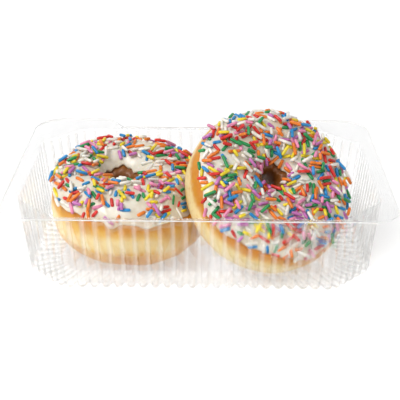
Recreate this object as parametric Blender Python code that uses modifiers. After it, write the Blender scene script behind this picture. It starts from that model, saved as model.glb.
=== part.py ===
"""Two iced ring doughnuts with sprinkles in an open, fluted, clear plastic tray.

One doughnut lies on the tray's floor and the other leans back on its shoulder.
Metres, +Z up, +X to the right and -Y to the front. The origin is on the table,
under the middle of the tray.
"""

import math
import random
from dataclasses import dataclass

import bmesh
import bpy
import numpy as np
from mathutils import Matrix, Vector

# Tray: the flange's outer size, the rim's height and the sheet
TRAY_WIDTH = 0.2200
TRAY_DEPTH = 0.1557
RIM_HEIGHT = 0.0474
SHEET = 0.0006

# Tray: the walls' top line stands this far inside the flange's edge
FRONT_FLANGE = 0.0036
SIDE_FLANGE = 0.0075
BACK_FLANGE = 0.0030
WALL_CORNER_LEG = 0.0240
DRAFT = 0.0035

# Tray: two ears widen the back flange at its corners
EAR_DEPTH = 0.0150
EAR_INNER_X = 0.0570
EAR_SLOPE_WIDTH = 0.0080
FRONT_CORNER_RADIUS = 0.0170
BACK_CORNER_RADIUS = 0.0190

# Tray: flutes run across the edge of the floor, round the bend and up the walls
FRONT_FLUTES = 22
SIDE_FLUTES = 12
CORNER_FLUTES = 5
FLUTE_DEPTH = 0.0022
FLUTE_DEPTH_AT_RIM = 0.0008
LOBE_START = 0.27
BEND = 0.0040
PANEL_INSET = 0.0185
PANEL_CORNER_LEG = 0.0120

# Doughnuts: section, icing and clearances
SECTION_POWER = 2.5
ICING = 0.0011
GAP = 0.0003
AROUND = 36
ICED_ROWS = 9
BARE_ROWS = 6

# Sprinkles
SPRINKLE_RADIUS = 0.0008
SPRINKLE_SIDES = 5
SPRINKLE_SHORTEST = 0.0045
SPRINKLE_LONGEST = 0.0070
SPRINKLE_RISE = 0.0003
SPRINKLE_SPACING = 0.0056
SPRINKLES_EACH = 51
SPRINKLE_TRIES = 9000

FLOOR_TOP = FLUTE_DEPTH + SHEET
FRONT_EDGE = -TRAY_DEPTH / 2
BACK_EDGE = TRAY_DEPTH / 2 - EAR_DEPTH
PER_FLUTE = 3


@dataclass
class Outline:
    """A rectangle with cut corners, which roundness turns into arcs."""

    half_width: float
    front: float
    back: float
    front_leg: float
    back_leg: float
    roundness: float = 0.0


@dataclass
class Doughnut:
    """A ring of superellipse section, with its hole off its centre."""

    side: str
    radius: float
    hole_radius: float
    half_height: float
    centre: Vector
    lean_right: float
    lean_front: float
    hole_shift: tuple
    icing_edge: float
    inner_edge: float
    drips: tuple
    wobble: tuple
    seed: int


@dataclass
class Contact:
    """A flat that a soft doughnut is pressed to; outward points out of the doughnut."""

    point: Vector
    outward: Vector


LEFT = Doughnut(
    side="left",
    radius=0.0465,
    hole_radius=0.0072,
    half_height=0.0228,
    centre=Vector((-0.0417, -0.0153, 0.0286)),
    lean_right=2.6,
    lean_front=7.0,
    hole_shift=(-0.0064, 0.0052),
    icing_edge=27.0,
    inner_edge=158.0,
    drips=((-100.0, 5.0, 8.0), (-42.0, 12.0, 6.0), (70.0, 9.0, 7.0)),
    wobble=(0.010, 0.6, 0.006, 2.1),
    seed=11,
)
RIGHT = Doughnut(
    side="right",
    radius=0.0487,
    hole_radius=0.0068,
    half_height=0.0172,
    centre=Vector((0.0386, -0.0286, 0.0424)),
    lean_right=19.0,
    lean_front=41.0,
    hole_shift=(-0.0006, 0.0050),
    icing_edge=36.0,
    inner_edge=148.0,
    drips=((-150.0, 8.0, 5.0), (-62.0, 9.0, 6.0), (35.0, 10.0, 6.0)),
    wobble=(0.008, 1.9, 0.006, 0.4),
    seed=23,
)

# Where the leaning doughnut and the lying one press each other flat
MEETING_POINT = Vector((-0.0045, -0.0305, 0.0402))
MEETING_DIRECTION = Vector((0.758, -0.381, 0.530)).normalized()

SPRINKLE_COLOURS = {
    "red": (0.72, 0.03, 0.02),
    "orange": (0.90, 0.22, 0.02),
    "yellow": (0.88, 0.66, 0.04),
    "green": (0.02, 0.28, 0.07),
    "blue": (0.02, 0.22, 0.62),
    "pink": (0.85, 0.25, 0.45),
    "violet": (0.50, 0.15, 0.48),
    "white": (0.86, 0.82, 0.74),
}


def clear_scene():
    for old in list(bpy.data.objects):
        bpy.data.objects.remove(old, do_unlink=True)


def make_material(name, colour, roughness, transmission=0.0):
    material = bpy.data.materials.new(name)
    material.use_nodes = True
    shader = material.node_tree.nodes["Principled BSDF"]
    shader.inputs["Base Color"].default_value = (*colour, 1.0)
    shader.inputs["Roughness"].default_value = roughness
    shader.inputs["Metallic"].default_value = 0.0
    shader.inputs["Transmission Weight"].default_value = transmission
    material.diffuse_color = (*colour, 1.0)
    return material


def new_collection(name, parent):
    collection = bpy.data.collections.new(name)
    parent.children.link(collection)
    return collection


def object_from_bmesh(name, shape, material, collection):
    mesh = bpy.data.meshes.new(name)
    shape.to_mesh(mesh)
    shape.free()
    mesh.materials.append(material)
    made = bpy.data.objects.new(name, mesh)
    collection.objects.link(made)
    return made


# The tray's outlines


def lerp(start, end, share):
    return start + (end - start) * share


def corner_points(start, end, centre, roundness, shares):
    """Points from start to end: straight, or on the quarter arc round centre."""
    straight = start + (end - start) * shares[:, None]
    turn = shares[:, None] * math.pi / 2
    arc = centre + (start - centre) * np.cos(turn) + (end - centre) * np.sin(turn)
    return straight * (1 - roundness) + arc * roundness


def flute_shares(flutes):
    """Where the columns of one side stand: for each flute its groove, then its lobe's two edges."""
    within = np.array([0.0, LOBE_START, 1.0 - LOBE_START])
    return ((np.arange(flutes)[:, None] + within) / flutes).ravel()


def outline_points(outline):
    """The outline's columns, anticlockwise from the left end of its front."""
    wide, front, back = outline.half_width, outline.front, outline.back
    sides = (
        ((-wide, front), (wide, front), (1, 0), FRONT_FLUTES),
        ((wide, front), (wide, back), (0, 1), SIDE_FLUTES),
        ((wide, back), (-wide, back), (-1, 0), FRONT_FLUTES),
        ((-wide, back), (-wide, front), (0, -1), SIDE_FLUTES),
    )
    legs = {front: outline.front_leg, back: outline.back_leg}
    pieces = []
    for first, last, direction, flutes in sides:
        along = np.array(direction, float)
        start = np.array(first) + along * legs[first[1]]
        end = np.array(last) - along * legs[last[1]]
        shares = flute_shares(flutes)
        pieces.append(start + (end - start) * shares[:, None])
        leg = legs[last[1]]
        outward = np.array([along[1], -along[0]])
        centre = end - outward * leg
        turned = centre + along * leg
        corner = flute_shares(CORNER_FLUTES)
        pieces.append(corner_points(end, turned, centre, outline.roundness, corner))
    return np.concatenate(pieces)


def wall_outline(inset):
    """The wall's foot line moved inwards by inset, parallel to itself."""
    foot_leg = WALL_CORNER_LEG - DRAFT * (2 - math.sqrt(2))
    leg = foot_leg - inset * (2 - math.sqrt(2))
    return Outline(
        half_width=TRAY_WIDTH / 2 - SIDE_FLANGE - DRAFT - inset,
        front=FRONT_EDGE + FRONT_FLANGE + DRAFT + inset,
        back=BACK_EDGE - BACK_FLANGE - DRAFT - inset,
        front_leg=leg,
        back_leg=leg,
    )


def panel_outline():
    """The smooth floor panel's edge, with rounder corners than the wall's."""
    outline = wall_outline(PANEL_INSET)
    outline.front_leg = PANEL_CORNER_LEG
    outline.back_leg = PANEL_CORNER_LEG
    outline.roundness = 0.7
    return outline


def ring_points(lobes, lobe_height, grooves, groove_height):
    """One ring of the tray: every third column, the groove, has its own outline and height."""
    lobe_xy = outline_points(lobes)
    groove_xy = outline_points(grooves)
    is_groove = np.arange(len(lobe_xy)) % PER_FLUTE == 0
    xy = np.where(is_groove[:, None], groove_xy, lobe_xy)
    z = np.where(is_groove, groove_height, lobe_height)
    return np.column_stack([xy, z])


def flange_points():
    """The flange's outer edge, with the ears at the back drawn out by a smooth slope."""
    outline = Outline(
        half_width=TRAY_WIDTH / 2,
        front=FRONT_EDGE,
        back=TRAY_DEPTH / 2,
        front_leg=FRONT_CORNER_RADIUS,
        back_leg=BACK_CORNER_RADIUS,
        roundness=1.0,
    )
    xy = outline_points(outline)
    share = (np.abs(xy[:, 0]) - EAR_INNER_X) / EAR_SLOPE_WIDTH + 0.5
    share = np.clip(share, 0.0, 1.0)
    ear = share * share * (3 - 2 * share)
    between = xy[:, 1] > TRAY_DEPTH / 2 - 1e-6
    xy[:, 1] -= np.where(between, EAR_DEPTH * (1 - ear), 0.0)
    z = np.full(len(xy), RIM_HEIGHT - SHEET)
    return np.column_stack([xy, z])


def tray_rings():
    """The rings of the tray's outer face, from the floor's flutes out to the flange's edge."""
    foot = panel_outline()
    diagonal = FLUTE_DEPTH / math.sqrt(2)
    knee = BEND * (1 - math.sqrt(0.5))
    rim = RIM_HEIGHT - SHEET
    return [
        ring_points(foot, 0.0, foot, FLUTE_DEPTH),
        ring_points(wall_outline(BEND), 0.0, wall_outline(BEND), FLUTE_DEPTH),
        ring_points(wall_outline(knee), knee, wall_outline(knee + diagonal), knee + diagonal),
        ring_points(wall_outline(0.0), BEND, wall_outline(FLUTE_DEPTH), BEND),
        ring_points(wall_outline(-DRAFT), rim, wall_outline(FLUTE_DEPTH_AT_RIM - DRAFT), rim),
        flange_points(),
    ]


def build_tray(collection):
    """A loft through the rings, with the floor panel across its middle, made a sheet by Solidify."""
    shape = bmesh.new()
    rings = [[shape.verts.new(point) for point in ring] for ring in tray_rings()]
    count = len(rings[0])
    for inner, outer in zip(rings, rings[1:]):
        for i in range(count):
            j = (i + 1) % count
            shape.faces.new((inner[i], inner[j], outer[j], outer[i]))
    foot = rings[0]
    for i in range(0, count, PER_FLUTE):
        shape.faces.new([foot[(i + PER_FLUTE - k) % count] for k in range(PER_FLUTE + 1)])
    shape.faces.new([foot[i] for i in range(0, count, PER_FLUTE)][::-1])
    clear = make_material("clear plastic", (0.95, 0.96, 0.96), 0.05, transmission=1.0)
    tray = object_from_bmesh("tray", shape, clear, collection)
    sheet = tray.modifiers.new("sheet", "SOLIDIFY")
    sheet.thickness = SHEET
    sheet.offset = -1.0
    return tray


# The doughnuts' form


def signed_power(value, power):
    return np.sign(value) * np.abs(value) ** power


def ring_surface(doughnut, around, section, lift=0.0):
    """Points of the ring at angle around and section angle, moved out by lift along the normal.

    The section is a superellipse between the outer circle and the hole's circle,
    whose centre is shifted, so the ring is thicker on one side.
    """
    size_2, phase_2, size_3, phase_3 = doughnut.wobble
    uneven = 1 + size_2 * np.cos(2 * around + phase_2) + size_3 * np.cos(3 * around + phase_3)
    direction = np.stack([np.cos(around), np.sin(around)], axis=-1)
    outer = direction * (doughnut.radius * uneven)[..., None]
    inner = direction * doughnut.hole_radius + np.array(doughnut.hole_shift)
    half = np.linalg.norm(outer - inner, axis=-1) / 2
    across = signed_power(np.cos(section), 2 / SECTION_POWER)
    up = signed_power(np.sin(section), 2 / SECTION_POWER)
    xy = (outer + inner) / 2 + (outer - inner) / 2 * across[..., None]
    normal_out = signed_power(across, SECTION_POWER - 1) / half
    normal_up = signed_power(up, SECTION_POWER - 1) / doughnut.half_height
    length = np.hypot(normal_out, normal_up)
    xy = xy + direction * (lift * normal_out / length)[..., None]
    z = doughnut.half_height * up + lift * normal_up / length
    return np.concatenate([xy, z[..., None]], axis=-1)


def icing_edge(doughnut, around):
    """The section angle of the icing's outer edge, lower where it has run down in a drip."""
    edge = doughnut.icing_edge + 2.2 * np.sin(5 * around + doughnut.seed)
    edge = edge + 1.4 * np.sin(9 * around + 2 * doughnut.seed)
    for place, half_width, run in doughnut.drips:
        away = np.degrees(np.angle(np.exp(1j * (around - math.radians(place)))))
        edge = edge - run * np.exp(-((away / half_width) ** 2))
    return np.radians(edge)


def section_rows(doughnut, around):
    """Section angles of a column's rows: first those under the icing, then the bare ones."""
    start = icing_edge(doughnut, around)
    end = np.radians(doughnut.inner_edge + 3.0 * np.sin(4 * around + doughnut.seed))
    iced = lerp(start[:, None], end[:, None], np.linspace(0, 1, ICED_ROWS))
    bare_shares = np.linspace(0, 1, BARE_ROWS + 2)[1:-1]
    bare = lerp(end[:, None], start[:, None] + 2 * math.pi, bare_shares)
    return np.concatenate([iced, bare], axis=1)


def placement(doughnut):
    lean = Matrix.Rotation(math.radians(doughnut.lean_front), 4, "X")
    lean = lean @ Matrix.Rotation(math.radians(doughnut.lean_right), 4, "Y")
    return Matrix.Translation(doughnut.centre) @ lean


def contacts_of(doughnut):
    """The flats round one doughnut: the tray's floor, the other doughnut and the front wall."""
    floor = Contact(Vector((0, 0, FLOOR_TOP + GAP / 2)), Vector((0, 0, -1)))
    towards = 1 if doughnut is LEFT else -1
    meeting = Contact(MEETING_POINT, MEETING_DIRECTION * towards)
    wall_face = FRONT_EDGE + FRONT_FLANGE + DRAFT + FLUTE_DEPTH + SHEET
    wall_foot = Vector((0, wall_face + GAP / 2, 0))
    wall_lean = Vector((0, -RIM_HEIGHT, -DRAFT)).normalized()
    return floor, meeting, Contact(wall_foot, wall_lean)


def pressed(points, doughnut, clearance):
    """Local points moved back, in the part's frame, to clearance inside every contact flat."""
    matrix = np.array(placement(doughnut))
    world = points @ matrix[:3, :3].T + matrix[:3, 3]
    for contact in contacts_of(doughnut):
        outward = np.array(contact.outward)
        beyond = (world - np.array(contact.point)) @ outward + clearance
        world = world - np.maximum(beyond, 0.0)[..., None] * outward
    return (world - matrix[:3, 3]) @ matrix[:3, :3]


def build_dough(doughnut, crust, collection):
    """A torus whose vertices are moved to the doughnut's own section and contact flats."""
    rows = ICED_ROWS + BARE_ROWS
    bpy.ops.mesh.primitive_torus_add(
        major_segments=AROUND, minor_segments=rows, major_radius=1.0, minor_radius=0.4
    )
    dough = bpy.context.object
    for holder in list(dough.users_collection):
        holder.objects.unlink(dough)
    collection.objects.link(dough)
    dough.name = f"doughnut_{doughnut.side}"
    dough.data.name = dough.name
    dough.data.materials.append(crust)
    around = np.arange(AROUND) * 2 * math.pi / AROUND
    section = section_rows(doughnut, around)
    points = ring_surface(doughnut, around[:, None] + 0 * section, section)
    iced = np.arange(rows) < ICED_ROWS
    clearance = GAP / 2 + np.where(iced, 2 * GAP + ICING, 0.0)
    points = pressed(points, doughnut, clearance[None, :])
    dough.data.vertices.foreach_set("co", points.reshape(-1))
    dough.data.update()
    dough.matrix_world = placement(doughnut)
    dough.data.shade_smooth()
    return dough


def icing_shape(doughnut):
    """The icing's outer face: an open band over the crown, from its outer edge into the hole."""
    around = np.arange(AROUND) * 2 * math.pi / AROUND
    section = section_rows(doughnut, around)[:, :ICED_ROWS]
    points = ring_surface(doughnut, around[:, None] + 0 * section, section, lift=GAP + ICING)
    points = pressed(points, doughnut, GAP / 2)
    shape = bmesh.new()
    columns = [[shape.verts.new(point) for point in column] for column in points]
    for i, column in enumerate(columns):
        following = columns[(i + 1) % AROUND]
        for j in range(ICED_ROWS - 1):
            shape.faces.new((column[j], following[j], following[j + 1], column[j + 1]))
    bmesh.ops.triangulate(shape, faces=shape.faces)
    shape.normal_update()
    return shape


# The sprinkles


def free_of_contacts(ends, doughnut):
    """True where both ends of a sprinkle stay clear of every contact flat."""
    matrix = placement(doughnut)
    margin = SPRINKLE_RADIUS + GAP
    for end in ends:
        world = matrix @ end
        for contact in contacts_of(doughnut):
            if (world - contact.point).dot(contact.outward) > -margin:
                return False
    return True


def sprinkle_places(doughnut, shape):
    """Seeded places on the icing: centre and direction in the doughnut's frame, longest first."""
    draw = random.Random(doughnut.seed)
    faces = list(shape.faces)
    areas = [face.calc_area() for face in faces]
    edge_points = [vertex.co for vertex in shape.verts if vertex.is_boundary]
    longest_first = sorted(
        (draw.uniform(SPRINKLE_SHORTEST, SPRINKLE_LONGEST) for _ in range(SPRINKLES_EACH)),
        reverse=True,
    )
    places = []
    for face in draw.choices(faces, weights=areas, k=SPRINKLE_TRIES):
        if len(places) == len(longest_first):
            break
        length = longest_first[len(places)]
        weights = sorted((draw.random(), draw.random()))
        shares = (weights[0], weights[1] - weights[0], 1 - weights[1])
        spot = sum((v.co * share for v, share in zip(face.verts, shares)), Vector())
        across = face.normal.orthogonal().normalized()
        across.rotate(Matrix.Rotation(draw.uniform(0, math.pi), 3, face.normal))
        centre = spot + face.normal * SPRINKLE_RISE
        ends = (centre + across * length / 2, centre - across * length / 2)
        near_edge = any((spot - point).length < length * 0.55 for point in edge_points)
        crowded = any((centre - other).length < SPRINKLE_SPACING for other, _, _, _ in places)
        if near_edge or crowded or not free_of_contacts(ends, doughnut):
            continue
        places.append((centre, across, face.normal.copy(), length))
    return places


def sprinkle_matrix(centre, along, up):
    side = up.cross(along).normalized()
    return Matrix(
        (
            (side.x, up.x, along.x, centre.x),
            (side.y, up.y, along.y, centre.y),
            (side.z, up.z, along.z, centre.z),
            (0, 0, 0, 1),
        )
    )


def scatter_sprinkles(doughnut, places, colours, collection):
    names = sorted(colours)
    for number, (centre, along, up, length) in enumerate(places):
        rod = bmesh.new()
        bmesh.ops.create_cone(
            rod,
            cap_ends=True,
            segments=SPRINKLE_SIDES,
            radius1=SPRINKLE_RADIUS,
            radius2=SPRINKLE_RADIUS,
            depth=length,
        )
        colour = colours[names[number % len(names)]]
        name = f"sprinkle_{doughnut.side}_{number:02d}"
        sprinkle = object_from_bmesh(name, rod, colour, collection)
        sprinkle.matrix_world = placement(doughnut) @ sprinkle_matrix(centre, along, up)


def build_icing(doughnut, white, colours, collection, helpers):
    """The icing's sheet with its sprinkles fused on by one union."""
    shape = icing_shape(doughnut)
    places = sprinkle_places(doughnut, shape)
    icing = object_from_bmesh(f"icing_{doughnut.side}", shape, white, collection)
    icing.matrix_world = placement(doughnut)
    scatter_sprinkles(doughnut, places, colours, helpers)
    thickness = icing.modifiers.new("thickness", "SOLIDIFY")
    thickness.thickness = ICING
    thickness.offset = -1.0
    union = icing.modifiers.new("sprinkles", "BOOLEAN")
    union.operation = "UNION"
    union.operand_type = "COLLECTION"
    union.collection = helpers
    union.solver = "EXACT"
    union.material_mode = "TRANSFER"
    bpy.context.view_layer.update()
    graph = bpy.context.evaluated_depsgraph_get()
    fused = bpy.data.meshes.new_from_object(icing.evaluated_get(graph))
    icing.modifiers.clear()
    icing.data = fused
    fused.name = icing.name
    for sprinkle in list(helpers.objects):
        bpy.data.objects.remove(sprinkle, do_unlink=True)
    return icing


def main():
    clear_scene()
    scene_root = bpy.context.scene.collection
    box_of_doughnuts = new_collection("box of doughnuts", scene_root)
    helpers = new_collection("sprinkle helpers", scene_root)
    helpers.hide_render = True
    crust = make_material("fried dough", (0.76, 0.42, 0.11), 0.55)
    white = make_material("white icing", (0.84, 0.80, 0.72), 0.28)
    colours = {
        name: make_material(f"{name} sprinkle", colour, 0.35)
        for name, colour in SPRINKLE_COLOURS.items()
    }
    build_tray(box_of_doughnuts)
    for doughnut in (LEFT, RIGHT):
        build_dough(doughnut, crust, box_of_doughnuts)
        build_icing(doughnut, white, colours, box_of_doughnuts, helpers)


main()
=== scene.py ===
"""Two iced ring doughnuts with sprinkles in an open, fluted tray of clear plastic.

Metres, +Z up, +X to the right and -Y to the front. Every surface is a function of two
parameters on a grid, worked out with numpy as whole arrays. A doughnut's grid has an angle
round the ring, from +X, and a section angle: 0 on its outside, 90 on top and 180 in its hole.
"""

import math
from dataclasses import dataclass

import bpy
import numpy as np
from mathutils import Matrix, Vector


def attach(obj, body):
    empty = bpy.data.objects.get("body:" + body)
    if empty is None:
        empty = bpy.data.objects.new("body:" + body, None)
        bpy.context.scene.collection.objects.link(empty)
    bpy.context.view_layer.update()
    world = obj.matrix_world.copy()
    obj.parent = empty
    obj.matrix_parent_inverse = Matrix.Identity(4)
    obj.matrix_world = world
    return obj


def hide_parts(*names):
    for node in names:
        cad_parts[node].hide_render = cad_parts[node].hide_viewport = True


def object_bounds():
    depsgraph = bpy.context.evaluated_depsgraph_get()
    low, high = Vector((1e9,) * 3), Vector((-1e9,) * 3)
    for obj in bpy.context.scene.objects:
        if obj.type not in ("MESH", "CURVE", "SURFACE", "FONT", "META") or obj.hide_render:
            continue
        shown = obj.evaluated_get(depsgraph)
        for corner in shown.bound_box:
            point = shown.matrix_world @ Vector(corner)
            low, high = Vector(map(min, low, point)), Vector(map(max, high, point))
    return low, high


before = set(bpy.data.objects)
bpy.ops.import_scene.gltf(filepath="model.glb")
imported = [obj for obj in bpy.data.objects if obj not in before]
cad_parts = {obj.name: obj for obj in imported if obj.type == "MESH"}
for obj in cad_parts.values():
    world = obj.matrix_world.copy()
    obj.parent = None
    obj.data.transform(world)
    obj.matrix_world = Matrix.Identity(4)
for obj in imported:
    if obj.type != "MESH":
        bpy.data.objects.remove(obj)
cad_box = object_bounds()

# Camera, at the photograph's viewing angle: places in metres, angles in radians, lens in mm
CAMERA_TARGET = Vector((0.0, -0.01285, 0.0218))
CAMERA_DISTANCE = 0.58809
CAMERA_DOWN = 0.4486
CAMERA_YAW = -0.0116
CAMERA_ROLL = 0.0036
CAMERA_LENS = 87.33
CAMERA_SHIFT_UP = 0.0286

# Tray: outer sizes, sheet, flange and walls
TRAY_WIDTH = 0.2200
TRAY_DEPTH = 0.1557
RIM_HEIGHT = 0.0474
SHEET = 0.0006
FRONT_FLANGE = 0.0036
SIDE_FLANGE = 0.0075
BACK_FLANGE = 0.0030
WALL_CORNER_LEG = 0.0240
DRAFT = 0.0035
EAR_DEPTH = 0.0150
EAR_INNER_X = 0.0570
EAR_SLOPE_WIDTH = 0.0080
FRONT_CORNER_RADIUS = 0.0170
BACK_CORNER_RADIUS = 0.0190
RIM_BEND = 0.0010
EDGE_SOFTNESS = 0.0016
EDGE_ROUNDING = 0.00012
FRONT_EDGE = -TRAY_DEPTH / 2
BACK_EDGE = TRAY_DEPTH / 2 - EAR_DEPTH

# Tray: flutes
FRONT_FLUTES = 22
SIDE_FLUTES = 12
CORNER_FLUTES = 5
FLUTES = 2 * (FRONT_FLUTES + SIDE_FLUTES) + 4 * CORNER_FLUTES
FLUTE_DEPTH = 0.0022
FLUTE_DEPTH_AT_RIM = 0.0008
BEND = 0.0040
PANEL_INSET = 0.0185
PANEL_CORNER_LEG = 0.0120
PANEL_ROUNDNESS = 0.7
PANEL_RAMP = 0.0022
LOBE_POWER = 1.8

# Tray: places of the grid's columns in a flute, and of its rings from the panel to the flange
FLUTE_COLUMNS = np.array([0, 0.06, 0.12, 0.19, 0.28, 0.39, 0.5, 0.61, 0.72, 0.81, 0.88, 0.94])
PANEL_RINGS = (0.25, 0.6, 0.9, 0.985)
RAMP_RINGS = 5
FLOOR_RINGS = 5
BEND_RINGS = 7
WALL_RINGS = 9
RIM_BEND_TURNS = (30, 60, 90)
FLANGE_RINGS = (0.6, 0.25)
BLUR_SAMPLES = 4096

# Doughnuts: section, gap at a contact, and its crease's softness and reach in softnesses
SECTION_POWER = 2.5
GAP = 0.0003
PRESS_SOFTNESS = 0.0006
PRESS_REACH = 8
FLOOR_TOP = FLUTE_DEPTH + SHEET

# Dough: grid, lumps as (height, size), and the bare wall's swell in the hole, which starts
# and is full at these degrees of section
DOUGH_AROUND = 288
DOUGH_ROWS = 132
COARSE_LUMPS = (0.00030, 0.022)
FINE_LUMPS = (0.00010, 0.007)
DOUGH_INSET = 0.0003
HOLE_SWELL = 0.0030
HOLE_STARTS = 112.0
HOLE_SWOLLEN = 160.0

# Dough: how far, in radians of section, its step under the icing's edges runs
STEP_OUTSIDE = 0.03
STEP_INSIDE = 0.05
STEP_IN_HOLE = 0.14

# Crust: its bands of colour, in degrees of section or round the ring
# Where the hole's dark brown is full; it is partly browner crust and partly painted shade
HOLE_BROWN_AND_SHADE = 150.0
UNDERSIDE_STARTS = 14.0
UNDERSIDE_BROWN = 60.0
UNDERSIDE_SHARE = 0.70
DEEP_STARTS = 8.0
PALE_SWAY = 3.5
PALE_SWAY_SIZE = 0.050
# Painted shade: how much the pale band fades where the ring lies in shade, and over how many degrees
# round the ring
PALE_PAINTED_SHADE = 0.75
PALE_PAINTED_SHADE_WIDTH = 32.0
PALE_WIDEST_AT = -102.0
PALE_WIDEST_REACH = 42.0

# Icing: thickness, grid, and its bead and lip as shares of the way from edge to edge
ICING = 0.0011
ICING_SUNK = 0.0004
ICING_SINK_RATE = 4
ICING_HELD_BACK = 0.0005
ICING_AROUND = 400
ICING_ROWS = 70
ICING_UNDER_ROWS = 24
ICING_BEAD = 0.030
BEAD_ROWS = np.array([0, 0.02, 0.08, 0.2, 0.38, 0.6, 0.8])
ICING_SPAN = 2.2
ICING_UNEVEN = 0.10
ICING_UNEVEN_SIZE = 0.012
LIP_SWELL = 0.12
LIP_AT = 0.03
LIP_WIDTH = 0.02

# Ripples of the icing's edges, as (height in degrees, waves round the ring, phase in seeds)
OUTER_RIPPLES = ((2.2, 5, 1), (1.4, 9, 2), (1.2, 17, 3), (0.7, 29, 1))
INNER_RIPPLES = ((3.0, 4, 1), (1.5, 11, 0))

# Sprinkles
SPRINKLE_RADIUS = 0.00096
SPRINKLE_SHORTEST = 0.0044
SPRINKLE_LONGEST = 0.0084
SPRINKLE_RISE = 0.00035
SPRINKLE_APART = 0.00164
SPRINKLE_TOUCHING = 0.00215
SPRINKLE_TILT = 0.14
SPRINKLE_TRIES = 70000
SPRINKLE_LOWER_SHARE = 0.68
SPRINKLE_SIDES = 8
MIX_SEED = 5
ROD_RINGS = ((-1, 0.30, 0.72), (-1, 1.0, 1.0), (1, 1.0, 1.0), (1, 0.30, 0.72))

# How thickly sprinkles fall: at the icing's edge, the rise from there inwards, and patches
SPRINKLED_FROM = 0.02
CROWD_AT_EDGE = 0.40
CROWD_RISE = 0.40
CROWD_RISE_FROM = 0.05
CROWD_RISE_TO = 0.40
PATCH_STRENGTH = 0.30
PATCH_SIZE = 0.022
FULL_AREA_QUANTILE = 0.95
PROBE = 1e-3

# Light: the studio's white as it lights things and as it is seen and mirrored
WORLD_LIGHT = 0.45
WORLD_SEEN = 1.0

# Lamps, as (name, place, (width, height), watts)
LAMPS = (
    ("key", (-0.55, -0.45, 0.85), (0.45, 0.35), 8.2),
    ("fill", (0.75, -0.5, 0.6), (0.5, 0.5), 0.6),
)
LAMP_TARGET = (0, 0, 0.03)

# Floor: a disc, with a weaker glow near the tray than far from it
FLOOR_RADIUS = 6
FLOOR_SIDES = 96
FLOOR_LEVEL = -0.0004
GLOW_NEAR = 0.56
GLOW_FAR = 0.83
GLOW_STARTS = 0.10
GLOW_ENDS = 0.60


@dataclass
class Outline:
    """A rectangle with cut corners, which roundness turns into arcs."""

    half_width: float
    front: float
    back: float
    front_leg: float
    back_leg: float
    roundness: float = 0.0


@dataclass
class Doughnut:
    """A ring of superellipse section, with its hole off its centre. Its angles are in degrees.

    The icing goes from icing_edge to inner_edge, with drips as (place round the ring, half
    width, run). Wobble is (size, phase) of two and of three waves round the outside. The crust's
    pale band lies at pale_at, rises and widens in front, and fades at one place round the ring,
    where the ring lies in shade, which paints that shade.
    """

    side: str
    radius: float
    hole_radius: float
    half_height: float
    centre: Vector
    lean_right: float
    lean_front: float
    hole_shift: tuple
    icing_edge: float
    inner_edge: float
    drips: tuple
    wobble: tuple
    seed: int
    sprinkles: int
    sprinkled_to: float
    pale_at: float
    pale_width: float
    pale_shaded_at: float
    pale_rise: float
    pale_widening: float


LEFT = Doughnut(
    side="left",
    radius=0.0465,
    hole_radius=0.0072,
    half_height=0.0228,
    centre=Vector((-0.0417, -0.0153, 0.0286)),
    lean_right=2.6,
    lean_front=7.0,
    hole_shift=(-0.0064, 0.0052),
    icing_edge=27.0,
    inner_edge=143.0,
    drips=((-100.0, 5.0, 8.0), (-42.0, 12.0, 6.0), (70.0, 9.0, 7.0)),
    wobble=(0.010, 0.6, 0.006, 2.1),
    seed=11,
    sprinkles=400,
    sprinkled_to=0.80,
    pale_at=-4.0,
    pale_width=11.0,
    pale_shaded_at=-25.0,
    pale_rise=2.0,
    pale_widening=0.15,
)
RIGHT = Doughnut(
    side="right",
    radius=0.0487,
    hole_radius=0.0068,
    half_height=0.0172,
    centre=Vector((0.0386, -0.0286, 0.0424)),
    lean_right=19.0,
    lean_front=41.0,
    hole_shift=(-0.0006, 0.0050),
    icing_edge=36.0,
    inner_edge=148.0,
    drips=((-150.0, 8.0, 5.0), (-62.0, 9.0, 6.0), (35.0, 10.0, 6.0)),
    wobble=(0.008, 1.9, 0.006, 0.4),
    seed=23,
    sprinkles=520,
    sprinkled_to=0.97,
    pale_at=-4.0,
    pale_width=13.0,
    pale_shaded_at=-45.0,
    pale_rise=4.0,
    pale_widening=0.95,
)

# Where the leaning doughnut and the lying one press each other flat
MEETING_POINT = np.array([-0.0045, -0.0305, 0.0402])
MEETING_DIRECTION = np.array([0.758, -0.381, 0.530])
MEETING_DIRECTION = MEETING_DIRECTION / np.linalg.norm(MEETING_DIRECTION)

# Sprinkle colours, with each one's share of the mix
SPRINKLE_MIX = {
    "red": ((0.74, 0.022, 0.014), 0.11),
    "orange": ((0.90, 0.22, 0.010), 0.14),
    "yellow": ((0.92, 0.72, 0.022), 0.14),
    "green": ((0.008, 0.29, 0.070), 0.09),
    "blue": ((0.010, 0.27, 0.62), 0.10),
    "pink": ((0.88, 0.29, 0.48), 0.12),
    "orchid": ((0.60, 0.18, 0.50), 0.09),
    "white": ((0.92, 0.88, 0.79), 0.21),
}


# Mesh helpers


def mesh_object(name, points, faces, materials):
    """A smooth-shaded mesh object from points and lists of face indices."""
    mesh = bpy.data.meshes.new(name)
    mesh.from_pydata(points.tolist(), [], faces)
    for material in materials:
        mesh.materials.append(material)
    mesh.shade_smooth()
    mesh.update()
    made = bpy.data.objects.new(name, mesh)
    bpy.context.scene.collection.objects.link(made)
    return made


def grid_faces(rows, columns, closed_rows=False):
    """Quads of a grid whose columns run round and close; its rows close too if asked."""
    last = rows if closed_rows else rows - 1
    i, j = np.meshgrid(np.arange(last), np.arange(columns), indexing="ij")
    below, beside = (i + 1) % rows, (j + 1) % columns
    corners = (i * columns + j, i * columns + beside, below * columns + beside, below * columns + j)
    return np.stack(corners, axis=-1).reshape(-1, 4)


def add_value(piece, name, values):
    """Stores one number for each point of the piece, which its material reads."""
    attribute = piece.data.attributes.new(name, "FLOAT", "POINT")
    attribute.data.foreach_set("value", np.asarray(values, np.float32).ravel())


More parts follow.
